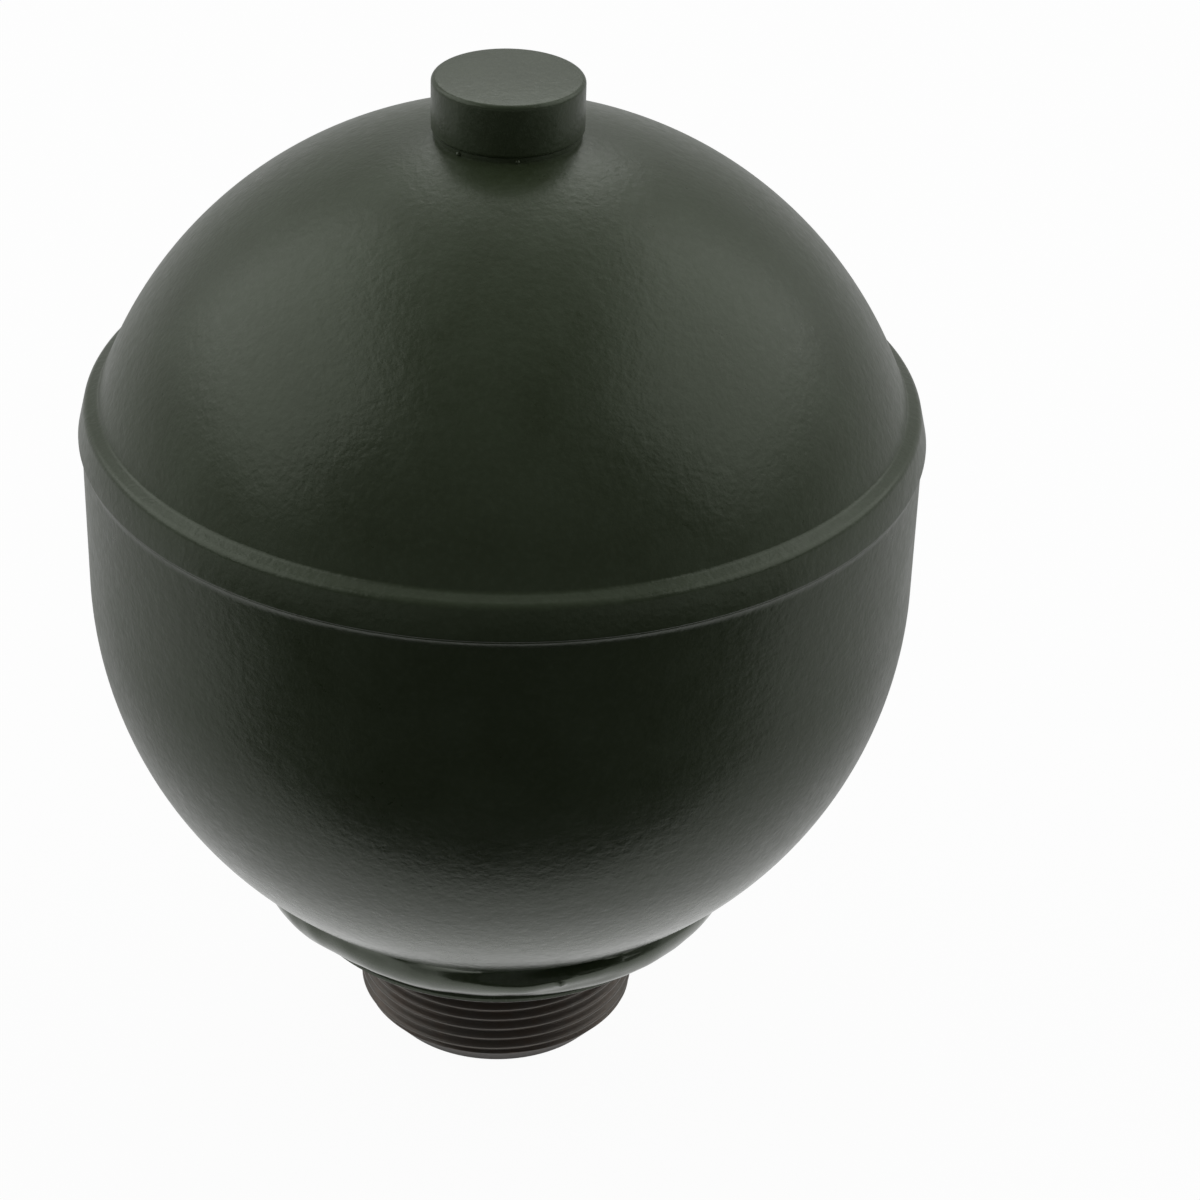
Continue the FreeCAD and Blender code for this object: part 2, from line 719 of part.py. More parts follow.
def export_bodies():
    """Check every object, then write each piece to its own file."""
    doc.recompute()
    for part in doc.Objects:
        if "Invalid" in part.State or "Error" in part.State:
            raise RuntimeError(f"{part.Label} did not build: {part.State}")
    bodies = [part for part in doc.Objects if part.TypeId == "PartDesign::Body"]
    for body in bodies:
        if body.Shape.isNull() or not body.Shape.isValid() or len(body.Shape.Solids) != 1:
            raise RuntimeError(f"{body.Label} is not one valid solid")
    os.makedirs("parts", exist_ok=True)
    for body in bodies:
        body.Shape.exportStep(f"parts/{body.Label}.step")
        print(f"{body.Label}: {body.Shape.Volume:.1f} mm3")


build_lower_shell()
build_upper_shell()
build_equator_weld()
build_charging_plug()
build_top_cap()
build_cap_weld()
build_neck()
build_neck_weld()
build_diaphragm()
build_diaphragm_button()
build_clamp_ring()
build_damper_body()
build_shims()
build_washers()
build_damper_bolt()
build_damper_nut()
export_bodies()
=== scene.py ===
import math

import bpy
from bpy.props import FloatProperty, FloatVectorProperty, IntProperty, PointerProperty
from bpy.types import Operator, Panel, PropertyGroup
from mathutils import Matrix, Vector, noise


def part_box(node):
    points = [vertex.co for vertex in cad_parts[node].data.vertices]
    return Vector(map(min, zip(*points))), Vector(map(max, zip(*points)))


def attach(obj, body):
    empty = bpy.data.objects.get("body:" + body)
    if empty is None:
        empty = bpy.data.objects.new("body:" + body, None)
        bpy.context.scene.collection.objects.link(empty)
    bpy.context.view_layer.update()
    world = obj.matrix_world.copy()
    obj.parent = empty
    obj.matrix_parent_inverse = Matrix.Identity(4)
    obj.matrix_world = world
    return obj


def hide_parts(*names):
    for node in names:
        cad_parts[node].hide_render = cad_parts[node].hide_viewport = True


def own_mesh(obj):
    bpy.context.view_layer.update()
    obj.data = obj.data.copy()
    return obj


bl_info = {
    "name": "Suspension Accumulator",
    "version": (1, 0, 0),
    "blender": (4, 5, 0),
    "location": "View3D > Sidebar > Accumulator",
    "description": "Painted shells, weld beads, threaded neck and diaphragm of a suspension accumulator",
    "category": "Add Mesh",
}

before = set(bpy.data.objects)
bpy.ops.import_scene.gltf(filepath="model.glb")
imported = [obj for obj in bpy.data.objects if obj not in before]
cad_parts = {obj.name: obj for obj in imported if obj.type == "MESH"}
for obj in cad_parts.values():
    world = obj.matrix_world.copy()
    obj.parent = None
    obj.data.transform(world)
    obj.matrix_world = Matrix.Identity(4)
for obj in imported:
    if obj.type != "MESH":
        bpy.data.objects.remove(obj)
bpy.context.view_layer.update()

MM = 0.001
MERGE_DISTANCE = 0.000002
SMOOTH_ANGLE = math.radians(32)
VESSEL = "pressure_vessel"

# Sizes of the neck and its weld that several pieces share; the weld hides the cup from the neck hole out to
# WELD_COVER, and its toe lies WELD_REACH outside the collar
THREAD_RADIUS = 17.5 * MM
SEAL_SEAT = 17.4 * MM
COLLAR_TOP = SEAL_SEAT + 4.2 * MM
PAINT_EDGE = SEAL_SEAT + 0.2 * MM
WELD_COVER = 4 * MM
WELD_REACH = 5.2 * MM

# The uneven face of the neck weld: how fast its lumps follow each other, and where its hollow, its ridge and
# its drop lie, in degrees round from the front and as shares of the face from root to toe
LUMPS_AROUND, LUMPS_ALONG = 2.4, 0.9
FINE_LUMPS, FINE_LUMP_HEIGHT = 4.3, 0.22
HOLLOW_PLACE, HOLLOW_WIDTH, HOLLOW_ELSEWHERE = 12, 28, 0.12
RIDGE_PLACE, RIDGE_WIDTH, RIDGE_SHARE, RIDGE_SPREAD = 18, 34, 0.72, 0.20
RIDGE_SHIFT, RIDGE_SHIFT_START, RIDGE_SHIFT_END = 0.14, 2, 22
DROP_PLACE, DROP_WIDTH, DROP_SHARE, DROP_SPREAD = 14.5, 1.3, 0.78, 0.06

# The beads of spatter at the cap's foot: degrees round from the front, and their lift as a share of the radius
CAP_BEAD_ANGLES = (-40, 7.6, -121)
CAP_BEAD_RADIUS, CAP_BEAD_LIFT = 0.3 * MM, 0.3

# Finishes
TURNED_NODES = (
    "charging_plug", "clamp_ring", "diaphragm_button", "compression_washer", "rebound_washer", "damper_bolt",
    "damper_nut",
)
SHEEN_TINT = (0.92, 1.0, 0.86, 1)
WORN_PHOSPHATE = (0.140, 0.133, 0.122, 1)
BROWN_PHOSPHATE = (0.108, 0.086, 0.070, 1)
PORE = (0.03, 0.03, 0.032, 1)
RUBBER_BLOOM = (0.05, 0.05, 0.052, 1)
WHITE, BLACK = (1, 1, 1, 1), (0, 0, 0, 1)
GLOSS_END, SATIN_START = 28 * MM, 45 * MM

# Stage; each lamp has a name, a place, a size and a power
FLOOR_SIZE = 8
FLOOR_GREY = (0.86, 0.86, 0.86, 1)
FLOOR_GLOW = 0.96
# The dark card in front is painted shade that only reflections see
SHADE_CARD_GREY = (0.05, 0.05, 0.05, 1)
CARD_EDGE = 70 * MM
CARD_HALF_WIDTH = 370 * MM
CARD_LENGTH = 1.5
LAMPS = (
    ("left_softbox", (-0.69, 0.06, 0.65), (1.12, 0.73), 2.75),
    ("right_softbox", (0.69, 0.06, 0.65), (1.12, 0.73), 2.5),
    ("back_softbox", (0.03, 0.64, 0.70), (0.50, 0.40), 0.95),
)
LAMP_AIM = (0, 0, 0.07)
CAMERA_PLACE = (0, -347.98 * MM, 271.03 * MM)
CAMERA_ANGLES = (1.98, 31.23, -1.82)
CAMERA_LENS, CAMERA_SENSOR = 100, 36


# Sizes read from the solids, in metres
def node_radius(node):
    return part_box(node)[1].x


def node_bottom(node):
    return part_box(node)[0].z


def node_top(node):
    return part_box(node)[1].z


def below(centre_height, sphere_radius, radius):
    """The height at which the lower half of a sphere has a radius."""
    return centre_height - math.sqrt(sphere_radius**2 - radius**2)


def above(centre_height, sphere_radius, radius):
    """The height at which the upper half of a sphere has a radius."""
    return centre_height + math.sqrt(sphere_radius**2 - radius**2)


class AccumulatorSizes(PropertyGroup):
    """Sizes of the finished pieces that a user may change."""

    turning_steps: IntProperty(
        name="Turning steps", description="Facets round each turned piece",
        default=240, min=48, max=360)
    wall: FloatProperty(
        name="Shell wall", description="Thickness of both pressed shells",
        default=3.5 * MM, unit="LENGTH")
    neck_hole: FloatProperty(
        name="Neck hole radius", description="Hole in the oil-side shell for the neck",
        default=22 * MM, unit="LENGTH")
    bead_groove: FloatProperty(
        name="Bead groove depth", description="Depth of the groove for the rubber bead",
        default=0.6 * MM, unit="LENGTH")
    bead_groove_length: FloatProperty(
        name="Bead groove length", description="Length of that groove, down from the rim",
        default=8.3 * MM, unit="LENGTH")
    band_thickness: FloatProperty(
        name="Band thickness", description="Height of the band round the joint",
        default=4.4 * MM, unit="LENGTH")
    band_taper: FloatProperty(
        name="Band taper", description="How far the band's side leans in",
        default=0.95 * MM, unit="LENGTH")
    band_shoulder: FloatProperty(
        name="Band shoulder", description="Rounding of the band's upper edge",
        default=1.1 * MM, unit="LENGTH")
    band_overhang: FloatProperty(
        name="Band overhang", description="How far the band stands out from the cup",
        default=0.5 * MM, unit="LENGTH")
    band_ledge: FloatProperty(
        name="Band ledge", description="Width left between the shoulder and the dome",
        default=0.4 * MM, unit="LENGTH")
    band_ledge_fall: FloatProperty(
        name="Band ledge fall", description="How far the band's top falls outwards",
        default=0.6 * MM, unit="LENGTH")
    cup_fullness: FloatProperty(
        name="Cup fullness", description="How far the centre of the cup's outer curve lies beyond the axis",
        default=1.5 * MM, unit="LENGTH")
    band_fillet: FloatProperty(
        name="Band fillet", description="Rounding where the dome meets the band",
        default=0.75 * MM, unit="LENGTH")
    dome_rise: FloatProperty(
        name="Dome rise", description="Height of the dome's crown above the band",
        default=33.1 * MM, unit="LENGTH")
    clamp_seat: FloatProperty(
        name="Clamp seat", description="Height of the clamp ring's seat above the rim",
        default=2.7 * MM, unit="LENGTH")
    cup_straight: FloatProperty(
        name="Cup straight", description="Height of the cup's straight upper wall",
        default=18.65 * MM, unit="LENGTH")
    fill_hole: FloatProperty(
        name="Fill hole radius", description="Radius of the gas filling hole",
        default=2.0 * MM, unit="LENGTH")
    countersink: FloatProperty(
        name="Countersink", description="Width and depth of the fill hole's countersink",
        default=1.6 * MM, unit="LENGTH")
    bevel_width: FloatProperty(
        name="Collar bevel width", description="How far the collar's bevel leans in",
        default=1.6 * MM, unit="LENGTH")
    bevel_height: FloatProperty(
        name="Collar bevel height", description="Height of the collar's bevel",
        default=3.3 * MM, unit="LENGTH")
    thread_pitch: FloatProperty(
        name="Thread pitch", description="Distance from one thread crest to the next",
        default=1.5 * MM, unit="LENGTH")
    thread_depth: FloatProperty(
        name="Thread depth", description="Depth of the thread from crest to root",
        default=0.8 * MM, unit="LENGTH")
    weld_lump: FloatProperty(
        name="Weld lumps", description="Height of the long lumps in the neck weld",
        default=0.4 * MM, unit="LENGTH")
    weld_hollow: FloatProperty(
        name="Weld hollow", description="Depth of the hollow under the neck weld's toe",
        default=1.0 * MM, unit="LENGTH")
    weld_ridge: FloatProperty(
        name="Weld ridge", description="Height of the ridge below that hollow",
        default=0.35 * MM, unit="LENGTH")
    weld_drop: FloatProperty(
        name="Weld drop", description="Height of the drop of spatter on the neck weld",
        default=0.3 * MM, unit="LENGTH")


class AccumulatorColours(PropertyGroup):
    """Colours of the finishes, as they are on the surface."""

    paint: FloatVectorProperty(
        name="Paint", description="Green-grey paint on the shells", subtype="COLOR", size=4,
        min=0, max=1, default=(0.0324, 0.0442, 0.0212, 1))
    paint_light: FloatVectorProperty(
        name="Paint, light mottle", description="Lighter patches in the paint", subtype="COLOR", size=4,
        min=0, max=1, default=(0.0494, 0.0662, 0.0374, 1))
    phosphate: FloatVectorProperty(
        name="Phosphate", description="Brown-black phosphate coat on the thread", subtype="COLOR", size=4,
        min=0, max=1, default=(0.1120, 0.1030, 0.0910, 1))
    steel: FloatVectorProperty(
        name="Turned steel", description="Bare turned steel inside", subtype="COLOR", size=4,
        min=0, max=1, default=(0.45, 0.44, 0.42, 1))
    spring: FloatVectorProperty(
        name="Spring steel", description="Rolled spring steel of the shims", subtype="COLOR", size=4,
        min=0, max=1, default=(0.42, 0.43, 0.46, 1))
    sintered: FloatVectorProperty(
        name="Sintered steel", description="Steam-treated sintered steel", subtype="COLOR", size=4,
        min=0, max=1, default=(0.10, 0.10, 0.105, 1))
    rubber: FloatVectorProperty(
        name="Rubber", description="Moulded black rubber", subtype="COLOR", size=4,
        min=0, max=1, default=(0.016, 0.016, 0.017, 1))


# Turning: a half section is drawn from one vertex and then spun about the axis
class Section:
    """The half section of a turned piece, drawn in edit mode."""

    def __init__(self, name, radius, height):
        bpy.ops.object.select_all(action="DESELECT")
        self.pen = Vector((radius, 0, height))
        bpy.ops.mesh.primitive_plane_add(size=MM, enter_editmode=True, location=self.pen)
        bpy.ops.mesh.merge(type="CENTER")
        self.piece = bpy.context.object
        self.piece.name = name
        self.piece.data.name = name

    def line(self, radius, height, cuts=1):
        """Extrude the last vertex straight to a radius and a height."""
        target = Vector((radius, 0, height))
        step = (target - self.pen) / cuts
        for _ in range(cuts):
            bpy.ops.mesh.extrude_vertices_move(TRANSFORM_OT_translate={"value": step})
        self.pen = target

    def arc(self, radius, height, centre_radius, centre_height, cuts):
        """Spin the last vertex about a centre until it reaches a radius and a height."""
        centre = Vector((centre_radius, 0, centre_height))
        target = Vector((radius, 0, height))
        before, after = self.pen - centre, target - centre
        turn = before.xz.angle_signed(after.xz)
        bpy.ops.mesh.spin(steps=cuts, angle=-turn, center=centre, axis=(0, 1, 0), use_auto_merge=False)
        self.pen = target

    def corner(self, radius, height, rounding, next_radius, next_height, cuts):
        """Draw up to a corner and round it towards the next point."""
        edge = Vector((radius, 0, height))
        before = (edge - self.pen).normalized()
        after = (Vector((next_radius, 0, next_height)) - edge).normalized()
        bend = before.xz.angle_signed(after.xz)
        reach = rounding * math.tan(abs(bend) / 2)
        start, end = edge - before * reach, edge + after * reach
        side = Vector((before.z, 0, -before.x)) * math.copysign(rounding, bend)
        centre = start + side
        self.line(start.x, start.z)
        self.arc(end.x, end.z, centre.x, centre.z, cuts)

    def turn(self, steps):
        """Spin the section all round and close its seam and its poles."""
        bpy.ops.mesh.select_all(action="SELECT")
        bpy.ops.mesh.remove_doubles(threshold=MERGE_DISTANCE)
        bpy.ops.mesh.select_all(action="SELECT")
        bpy.ops.mesh.spin(
            steps=steps, angle=math.tau, center=(0, 0, 0), axis=(0, 0, 1), use_auto_merge=True)
        bpy.ops.mesh.select_all(action="SELECT")
        bpy.ops.mesh.remove_doubles(threshold=MERGE_DISTANCE)
        bpy.ops.mesh.normals_make_consistent(inside=False)
        bpy.ops.object.mode_set(mode="OBJECT")
        bpy.ops.object.transform_apply(location=True, rotation=True, scale=True)
        return self.piece


def pick(piece):
    """Select one piece and make it active."""
    bpy.ops.object.select_all(action="DESELECT")
    bpy.context.view_layer.objects.active = piece
    piece.select_set(True)


def finish_piece(piece, node_names, material):
    """Shade a piece, give it its finish and put it in place of its solids."""
    pick(piece)
    bpy.ops.object.shade_smooth_by_angle(angle=SMOOTH_ANGLE)
    piece.data.materials.clear()
    piece.data.materials.append(material)
    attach(piece, VESSEL)
    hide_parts(*node_names)


# Places that several pieces share
def cup_centre():
    return node_top("lower_shell") - bpy.context.scene.accumulator_sizes.cup_straight


def cup_inner_radius():
    return node_radius("lower_shell") - bpy.context.scene.accumulator_sizes.wall


def cup_outside(radius):
    """The height of the cup's outside at a radius; its curve is a little fuller than a half sphere."""
    fullness = bpy.context.scene.accumulator_sizes.cup_fullness
    return below(cup_centre(), node_radius("lower_shell") + fullness, radius + fullness)


def covered_radius():
    """The radius inside which the neck weld hides the cup, which runs straight from there to its hole."""
    return bpy.context.scene.accumulator_sizes.neck_hole + WELD_COVER


def band_radius():
    return node_radius("lower_shell") + bpy.context.scene.accumulator_sizes.band_overhang


def dome_place():
    """The dome's outer radius and the height of its centre."""
    sizes = bpy.context.scene.accumulator_sizes
    foot = band_radius() - sizes.band_taper - sizes.band_shoulder - sizes.band_ledge
    radius = (foot**2 + sizes.dome_rise**2) / (2 * sizes.dome_rise)
    crown = node_bottom("upper_shell") + sizes.band_thickness + sizes.dome_rise
    return radius, crown - radius


def hump(value, middle, width):
    """A smooth hump: one at its middle, and nothing a width away on either side."""
    away = min(1, abs(value - middle) / width)
    return (1 + math.cos(math.pi * away)) / 2


def rise(value, low, high):
    """A smooth rise from nothing at the low end to one at the high end."""
    return hump(min(value, high), high, high - low)


# Materials
def new_tree(name):
    material = bpy.data.materials.new(name)
    material.use_nodes = True
    tree = material.node_tree
    return material, tree, tree.nodes["Principled BSDF"]


def add_node(tree, kind, settings=None, **inputs):
    """Add a node, set its options, and set or link its inputs by name."""
    made = tree.nodes.new(kind)
    for option, value in (settings or {}).items():
        setattr(made, option, value)
    for name, value in inputs.items():
        plug_in(tree, made.inputs[name.replace("_", " ")], value)
    return made


def plug_in(tree, socket, value):
    if isinstance(value, bpy.types.NodeSocket):
        tree.links.new(value, socket)
    else:
        socket.default_value = value


def surface_noise(tree, coords, size, detail=4, roughness=0.55):
    """Noise whose lumps are about a given size, in metres."""
    made = add_node(
        tree, "ShaderNodeTexNoise", Vector=coords, Scale=1 / size, Detail=detail, Roughness=roughness)
    return made.outputs["Fac"]


def remap(tree, value, low, high, to_low, to_high):
    """Turn the span from low to high into the span from to_low to to_high, and hold it there."""
    made = add_node(
        tree, "ShaderNodeMapRange", Value=value, From_Min=low, From_Max=high, To_Min=to_low, To_Max=to_high)
    return made.outputs["Result"]


def mix_colour(tree, factor, first, second):
    made = tree.nodes.new("ShaderNodeMix")
    made.data_type = "RGBA"
    plug_in(tree, made.inputs[0], factor)
    plug_in(tree, made.inputs[6], first)
    plug_in(tree, made.inputs[7], second)
    return made.outputs[2]


def maths(tree, operation, first, second=0.0):
    made = tree.nodes.new("ShaderNodeMath")
    made.operation = operation
    plug_in(tree, made.inputs[0], first)
    plug_in(tree, made.inputs[1], second)
    return made.outputs[0]


def bump(tree, height, distance, strength=1.0, normal=None):
    made = add_node(tree, "ShaderNodeBump", Height=height, Distance=distance, Strength=strength)
    if normal is not None:
        tree.links.new(normal, made.inputs["Normal"])
    return made.outputs["Normal"]


def object_coords(tree):
    """The place on the piece, and its radius from the axis and height, in metres."""
    coords = tree.nodes.new("ShaderNodeTexCoord").outputs["Object"]
    parts = add_node(tree, "ShaderNodeSeparateXYZ", Vector=coords)
    across, along, height = parts.outputs
    flat = add_node(tree, "ShaderNodeCombineXYZ", X=across, Y=along)
    radius = tree.nodes.new("ShaderNodeVectorMath")
    radius.operation = "LENGTH"
    tree.links.new(flat.outputs[0], radius.inputs[0])
    return coords, radius.outputs["Value"], height


def seen_rays(tree):
    """Whether a ray comes from the camera, and whether it is one that shows the background."""
    path = tree.nodes.new("ShaderNodeLightPath").outputs
    mirrored = maths(tree, "MAXIMUM", path["Is Glossy Ray"], path["Is Transmission Ray"])
    return path["Is Camera Ray"], maths(tree, "MAXIMUM", path["Is Camera Ray"], mirrored)


def paint_nodes(tree, shader, coords, peel=1.0, shine=0.0):
    """Satin stoved paint: mottled green-grey, with an orange-peel skin.

    A lower peel and some shine give the smoother skin where it flowed over turned steel or weld metal.
    """
    colours = bpy.context.scene.accumulator_colours
    mottle = surface_noise(tree, coords, 9 * MM, detail=5, roughness=0.6)
    speck = surface_noise(tree, coords, 0.7 * MM, detail=3, roughness=0.6)
    shade = maths(tree, "ADD", remap(tree, mottle, 0.35, 0.7, 0, 0.55), remap(tree, speck, 0.45, 0.8, 0, 0.6))
    colour = mix_colour(tree, shade, tuple(colours.paint), tuple(colours.paint_light))
    plug_in(tree, shader.inputs["Base Color"], colour)
    grain = maths(tree, "ADD", mottle, surface_noise(tree, coords, 1.1 * MM, detail=3, roughness=0.5))
    plug_in(tree, shader.inputs["Roughness"], remap(tree, grain, 0.6, 1.4, 0.26 - shine, 0.38 - shine))
    plug_in(tree, shader.inputs["Specular Tint"], SHEEN_TINT)
    fine = surface_noise(tree, coords, 0.55 * MM, detail=2, roughness=0.5)
    middling = surface_noise(tree, coords, 1.3 * MM, detail=2, roughness=0.5)
    broad = surface_noise(tree, coords, 5 * MM, detail=2, roughness=0.4)
    skin = bump(tree, fine, 0.030 * MM * peel)
    skin = bump(tree, middling, 0.045 * MM * peel, normal=skin)
    skin = bump(tree, broad, 0.04 * MM, strength=0.6, normal=skin)
    plug_in(tree, shader.inputs["Normal"], skin)


def paint_material():
    """Paint on the shells, the cap and the fine beads, glossier on the cup's lower curve."""
    material, tree, shader = new_tree("green_grey_paint")
    coords, _, height = object_coords(tree)
    paint_nodes(tree, shader, coords)
    level = remap(tree, height, GLOSS_END, SATIN_START, 1.0, 0.5)
    plug_in(tree, shader.inputs["Specular IOR Level"], level)
    rough = shader.inputs["Roughness"].links[0].from_socket
    smoother = remap(tree, height, GLOSS_END + 2 * MM, SATIN_START, 0.65, 1.0)
    plug_in(tree, shader.inputs["Roughness"], maths(tree, "MULTIPLY", rough, smoother))
    return material


def weld_paint_material():
    """Paint on the neck weld, smoother and glossier than on the pressed shells."""
    material, tree, shader = new_tree("weld_paint")
    coords, _, _ = object_coords(tree)
    paint_nodes(tree, shader, coords, peel=0.35, shine=0.10)
    shader.inputs["Specular IOR Level"].default_value = 0.8
    return material


def phosphate_nodes(tree, shader, coords, radius):
    """Brown-black phosphated steel with turning marks, and crests worn a little brighter."""
    colours = bpy.context.scene.accumulator_colours
    sizes = bpy.context.scene.accumulator_sizes
    stain = surface_noise(tree, coords, 3.0 * MM, detail=5, roughness=0.65)
    fine = surface_noise(tree, coords, 0.35 * MM, detail=3, roughness=0.6)
    browner = remap(tree, stain, 0.35, 0.7, 0, 1)
    dark = mix_colour(tree, browner, tuple(colours.phosphate), BROWN_PHOSPHATE)
    wear = remap(tree, radius, THREAD_RADIUS - sizes.thread_depth * 0.25, THREAD_RADIUS, 0, 1)
    wear = maths(tree, "MULTIPLY", wear, remap(tree, stain, 0.3, 0.7, 0.2, 0.75))
    plug_in(tree, shader.inputs["Base Color"], mix_colour(tree, wear, dark, WORN_PHOSPHATE))
    shader.inputs["Metallic"].default_value = 0.6
    plug_in(tree, shader.inputs["Roughness"], remap(tree, fine, 0.3, 0.7, 0.30, 0.46))
    marks = add_node(
        tree, "ShaderNodeTexWave", {"bands_direction": "Z"},
        Vector=coords, Scale=1800.0, Distortion=1.5, Detail=1.0)
    turned = bump(tree, marks.outputs["Fac"], 0.006 * MM, strength=0.4)
    plug_in(tree, shader.inputs["Normal"], bump(tree, fine, 0.012 * MM, strength=0.5, normal=turned))


def neck_material():
    """Paint down to the collar's lower edge, and the phosphate coat below it."""
    material, tree, paint = new_tree("neck_phosphate_and_paint")
    coords, radius, height = object_coords(tree)
    paint_nodes(tree, paint, coords, peel=0.4, shine=0.06)
    coat = tree.nodes.new("ShaderNodeBsdfPrincipled")
    phosphate_nodes(tree, coat, coords, radius)
    ragged, soft = 0.1 * MM, 0.05 * MM
    wander = remap(tree, surface_noise(tree, coords, 1.5 * MM, detail=4), 0.3, 0.7, -ragged, ragged)
    edge = maths(tree, "ADD", height, wander)
    painted = remap(tree, edge, PAINT_EDGE - soft, PAINT_EDGE + soft, 0, 1)
    blend = add_node(tree, "ShaderNodeMixShader")
    plug_in(tree, blend.inputs[0], painted)
    tree.links.new(coat.outputs[0], blend.inputs[1])
    tree.links.new(paint.outputs[0], blend.inputs[2])
    tree.links.new(blend.outputs[0], tree.nodes["Material Output"].inputs["Surface"])
    return material


def steel_material(name, colour, roughness, mark_size):
    """Turned or rolled steel: fine rings about the axis, with slight oil staining."""
    material, tree, shader = new_tree(name)
    coords, radius, height = object_coords(tree)
    stain = surface_noise(tree, coords, 6 * MM, detail=5, roughness=0.6)
    darker = tuple(channel * 0.72 for channel in colour[:3]) + (1,)
    stained = remap(tree, stain, 0.3, 0.75, 0, 1)
    plug_in(tree, shader.inputs["Base Color"], mix_colour(tree, stained, tuple(colour), darker))
    shader.inputs["Metallic"].default_value = 1.0
    plug_in(tree, shader.inputs["Roughness"], remap(tree, stain, 0.3, 0.7, roughness, roughness + 0.14))
    ring_place = add_node(tree, "ShaderNodeCombineXYZ", X=radius, Z=height)
    marks = surface_noise(tree, ring_place.outputs[0], mark_size, detail=3, roughness=0.5)
    plug_in(tree, shader.inputs["Normal"], bump(tree, marks, 0.008 * MM, strength=0.5))
    return material


def sintered_material():
    """Steam-treated sintered steel: blue-black, open-grained, with tiny pores."""
    material, tree, shader = new_tree("sintered_steel")
    colours = bpy.context.scene.accumulator_colours
    coords, _, _ = object_coords(tree)
    cells = add_node(tree, "ShaderNodeTexVoronoi", Vector=coords, Scale=1 / (0.28 * MM))
    pores = remap(tree, cells.outputs["Distance"], 0.0, 0.35, 0, 1)
    plug_in(tree, shader.inputs["Base Color"], mix_colour(tree, pores, PORE, tuple(colours.sintered)))
    shader.inputs["Metallic"].default_value = 0.85
    grain = surface_noise(tree, coords, 0.9 * MM)
    plug_in(tree, shader.inputs["Roughness"], remap(tree, grain, 0.3, 0.7, 0.42, 0.62))
    plug_in(tree, shader.inputs["Normal"], bump(tree, pores, 0.02 * MM, strength=0.5))
    return material


def rubber_material():
    """Matt moulded rubber with a fine skin and a slight bloom."""
    material, tree, shader = new_tree("diaphragm_rubber")
    colours = bpy.context.scene.accumulator_colours
    coords, _, _ = object_coords(tree)
    bloom = surface_noise(tree, coords, 12 * MM, detail=5, roughness=0.6)
    paler = remap(tree, bloom, 0.45, 0.8, 0, 1)
    plug_in(tree, shader.inputs["Base Color"], mix_colour(tree, paler, tuple(colours.rubber), RUBBER_BLOOM))
    plug_in(tree, shader.inputs["Roughness"], remap(tree, bloom, 0.3, 0.7, 0.55, 0.75))
    skin = surface_noise(tree, coords, 0.3 * MM, detail=3)
    plug_in(tree, shader.inputs["Normal"], bump(tree, skin, 0.015 * MM, strength=0.5))
    return material


def finish(name, make):
    """The finish of that name, made the first time it is asked for."""
    return bpy.data.materials.get(name) or make()


def paint_finish():
    return finish("green_grey_paint", paint_material)


# Shells and band
class ACCUMULATOR_OT_lower_shell(Operator):
    """Turn the oil-side shell: a pressed cup with a straight upper wall and a groove for the bead"""

    bl_idname = "accumulator.lower_shell"
    bl_label = "Oil-side shell"

    def execute(self, context):
        sizes = context.scene.accumulator_sizes
        outer, inner = node_radius("lower_shell"), cup_inner_radius()
        centre, rim = cup_centre(), node_top("lower_shell")
        groove = inner + sizes.bead_groove
        covered = covered_radius()
        section = Section("oil_side_shell", sizes.neck_hole, below(centre, outer, sizes.neck_hole))
        section.line(covered, cup_outside(covered))
        section.arc(outer, centre, -sizes.cup_fullness, centre, cuts=48)
        section.line(outer, rim, cuts=10)
        section.line(groove, rim)
        section.line(groove, rim - sizes.bead_groove_length, cuts=4)
        section.line(inner, rim - sizes.bead_groove_length)
        section.line(inner, centre, cuts=4)
        section.arc(sizes.neck_hole, below(centre, inner, sizes.neck_hole), 0, centre, cuts=32)
        section.line(sizes.neck_hole, below(centre, outer, sizes.neck_hole))
        shell = section.turn(sizes.turning_steps)
        finish_piece(shell, ["lower_shell"], paint_finish())
        return {"FINISHED"}


